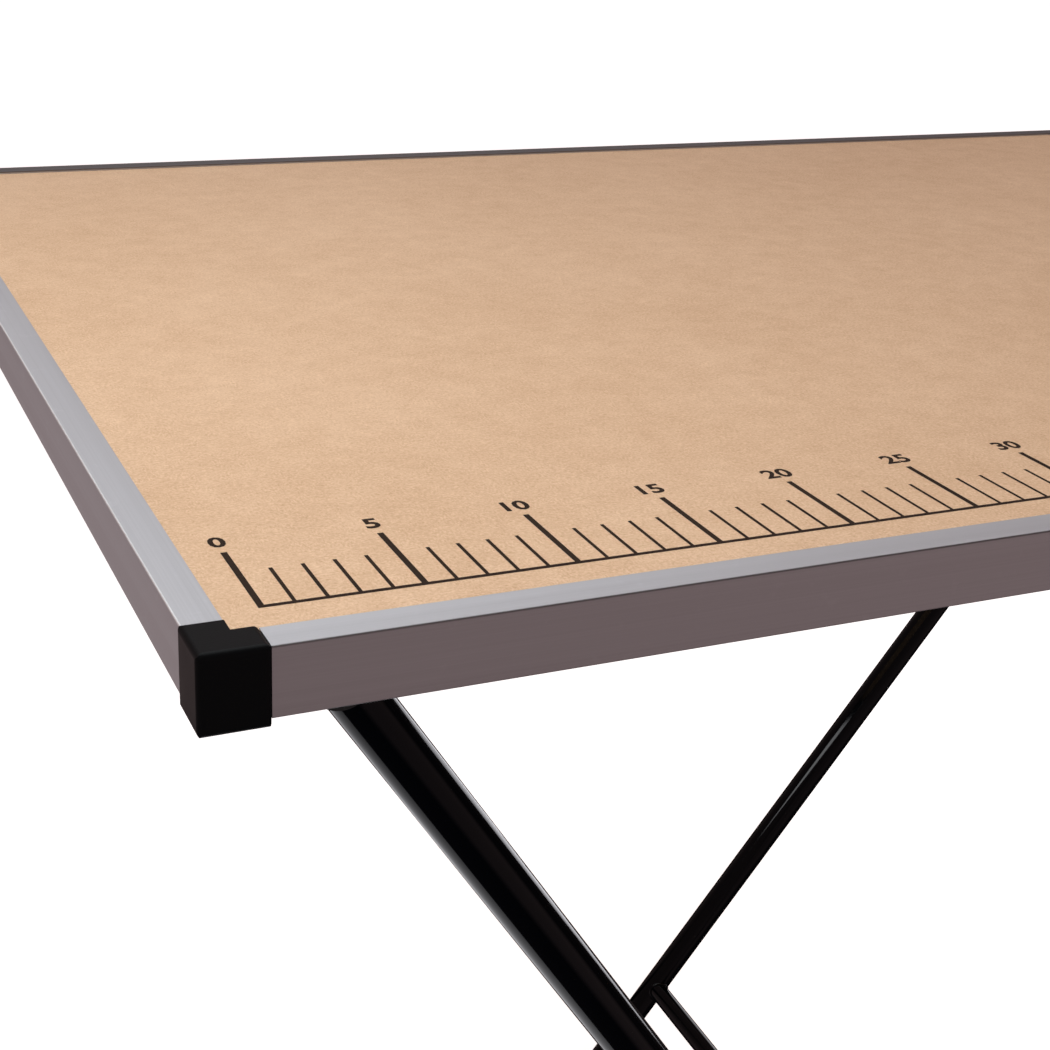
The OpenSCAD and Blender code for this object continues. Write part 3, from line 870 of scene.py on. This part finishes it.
# %% Lights
LAMPS = {
    "over_corner": dict(place=(-1.2, -0.17, 1.74), target=(-1.2, -0.17, 0.0), size=(0.5, 0.5),
                        watts=8.1, colour=(0.97, 1.01, 1.03), mirrored=False),
    "over_right_board": dict(place=(0.9, 0.1, 1.9), target=(0.9, 0.1, 0.0), size=(0.8, 0.8),
                             watts=6.5, mirrored=False),
    "overhead": dict(place=(-0.9, 0.55, 2.45), target=(-0.8, 0.3, 0.0), size=(2.2, 2.2),
                     watts=38, colour=(0.9, 0.98, 1.0), lights=False),
    "left_softbox": dict(place=(-2.15, -0.58, 1.46), target=(-0.4, 0.255, 0.28), size=(1.4, 0.26),
                         watts=14.5, colour=(0.95, 0.97, 1.0), lights=False),
    "floor_left": dict(place=(-1.05, 0.05, 0.01), target=(-1.05, 0.05, 1.0), size=(0.5, 0.8),
                       watts=1.8, colour=(0.96, 0.96, 1.0), lights=False),
    "leg_strip": dict(place=(0.42, 0.62, 0.28), target=(-0.9, -0.3, 0.66), size=(0.8, 0.5),
                      watts=4.2, colour=(0.96, 0.95, 1.0), lights=False),
}


def soft_light(name, place, target, size, watts, colour=(1, 1, 1), mirrored=True, lights=True):
    """An area light, wide and tall as given, at a place and turned to face a target. The camera
    doesn't see it. One that isn't mirrored only lights dull surfaces, and one that doesn't light
    them only shows in shiny ones."""
    light = bpy.data.lights.new(name, "AREA")
    light.shape = "RECTANGLE"
    light.size, light.size_y = size
    light.energy = watts
    light.color = colour
    lamp = bpy.data.objects.new(name, light)
    lamp.visible_camera = False
    lamp.visible_glossy = mirrored
    lamp.visible_diffuse = lights
    bpy.context.scene.collection.objects.link(lamp)
    away = Vector(place) - Vector(target)
    facing = away.to_track_quat("Z", "Y").to_matrix().to_4x4()
    lamp.matrix_world = Matrix.Translation(place) @ facing


for name, settings in LAMPS.items():
    soft_light(name, **settings)
print("lamps:", *LAMPS)

# %% [markdown]
# The world is two backgrounds. Light Path says whether a ray comes from the camera: such a ray
# sees the pale one, and every other ray, so all light and all reflections, the room. How bright the
# room is depends on where the ray goes. It is a little dimmer above the horizon, and dark towards
# its floor. Below the horizon it is also dark at the right and straight behind, because the glossy
# tubes mirror those parts and have to stay black.

# %% World
ROOM = (1.0, 0.74, 0.73, 1.0)
ROOM_STRENGTH = 0.46
ROOM_DARKEST = 0.1
ROOM_ABOVE = 0.72
PALE_STRENGTH = 1.0
# a ray's direction has parts from -1 to 1: X is to the right, Y backwards and Z upwards, and each
# pair says where on one of them a change of brightness starts and where it is complete
OFF_THE_FLOOR = (-0.6, -0.46)
TO_THE_RIGHT = (0.1, 0.3)
OFF_THE_FRONT = (-0.4, -0.2)
STRAIGHT_BACK = (0.88, 0.99)
HORIZON = (0.0, 0.05)
HIGH_UP = (0.0, 0.2)


def room_strength(tree):
    """The shares of the floor, of the dark parts below the horizon and of the part above it,
    multiplied together and by the room's full strength."""
    direction = tree.nodes.new("ShaderNodeSeparateXYZ")
    tree.links.new(tree.nodes.new("ShaderNodeTexCoord").outputs["Generated"], direction.inputs[0])
    rightward, backward, upward = direction.outputs
    floor_share = remap(tree, upward, *OFF_THE_FLOOR, ROOM_DARKEST, 1.0)
    right = times(tree, remap(tree, rightward, *TO_THE_RIGHT), remap(tree, backward, *OFF_THE_FRONT))
    dark = maths(tree, "MAXIMUM", remap(tree, backward, *STRAIGHT_BACK), right)
    below = remap(tree, upward, *HORIZON, 1.0, 0.0)
    dark_share = remap(tree, times(tree, dark, below), 0.0, 1.0, 1.0, ROOM_DARKEST)
    above_share = remap(tree, upward, *HIGH_UP, 1.0, ROOM_ABOVE)
    return times(tree, floor_share, dark_share, above_share, ROOM_STRENGTH)


def studio_world():
    """The room for every ray but the camera's, which sees plain white."""
    world = bpy.data.worlds.new("studio")
    world.use_nodes = True
    tree = world.node_tree
    room = tree.nodes["Background"]
    room.inputs["Color"].default_value = ROOM
    tree.links.new(room_strength(tree), room.inputs["Strength"])
    pale = tree.nodes.new("ShaderNodeBackground")
    pale.inputs["Color"].default_value = WHITE
    pale.inputs["Strength"].default_value = PALE_STRENGTH
    seen = tree.nodes.new("ShaderNodeLightPath").outputs["Is Camera Ray"]
    both = mix_shaders(tree, seen, room.outputs[0], pale.outputs[0])
    tree.links.new(both, tree.nodes["World Output"].inputs["Surface"])
    return world


bpy.context.scene.world = studio_world()
bpy.context.scene.view_settings.view_transform = "Standard"
print("world:", bpy.context.scene.world.name, "with a room of strength", ROOM_STRENGTH)
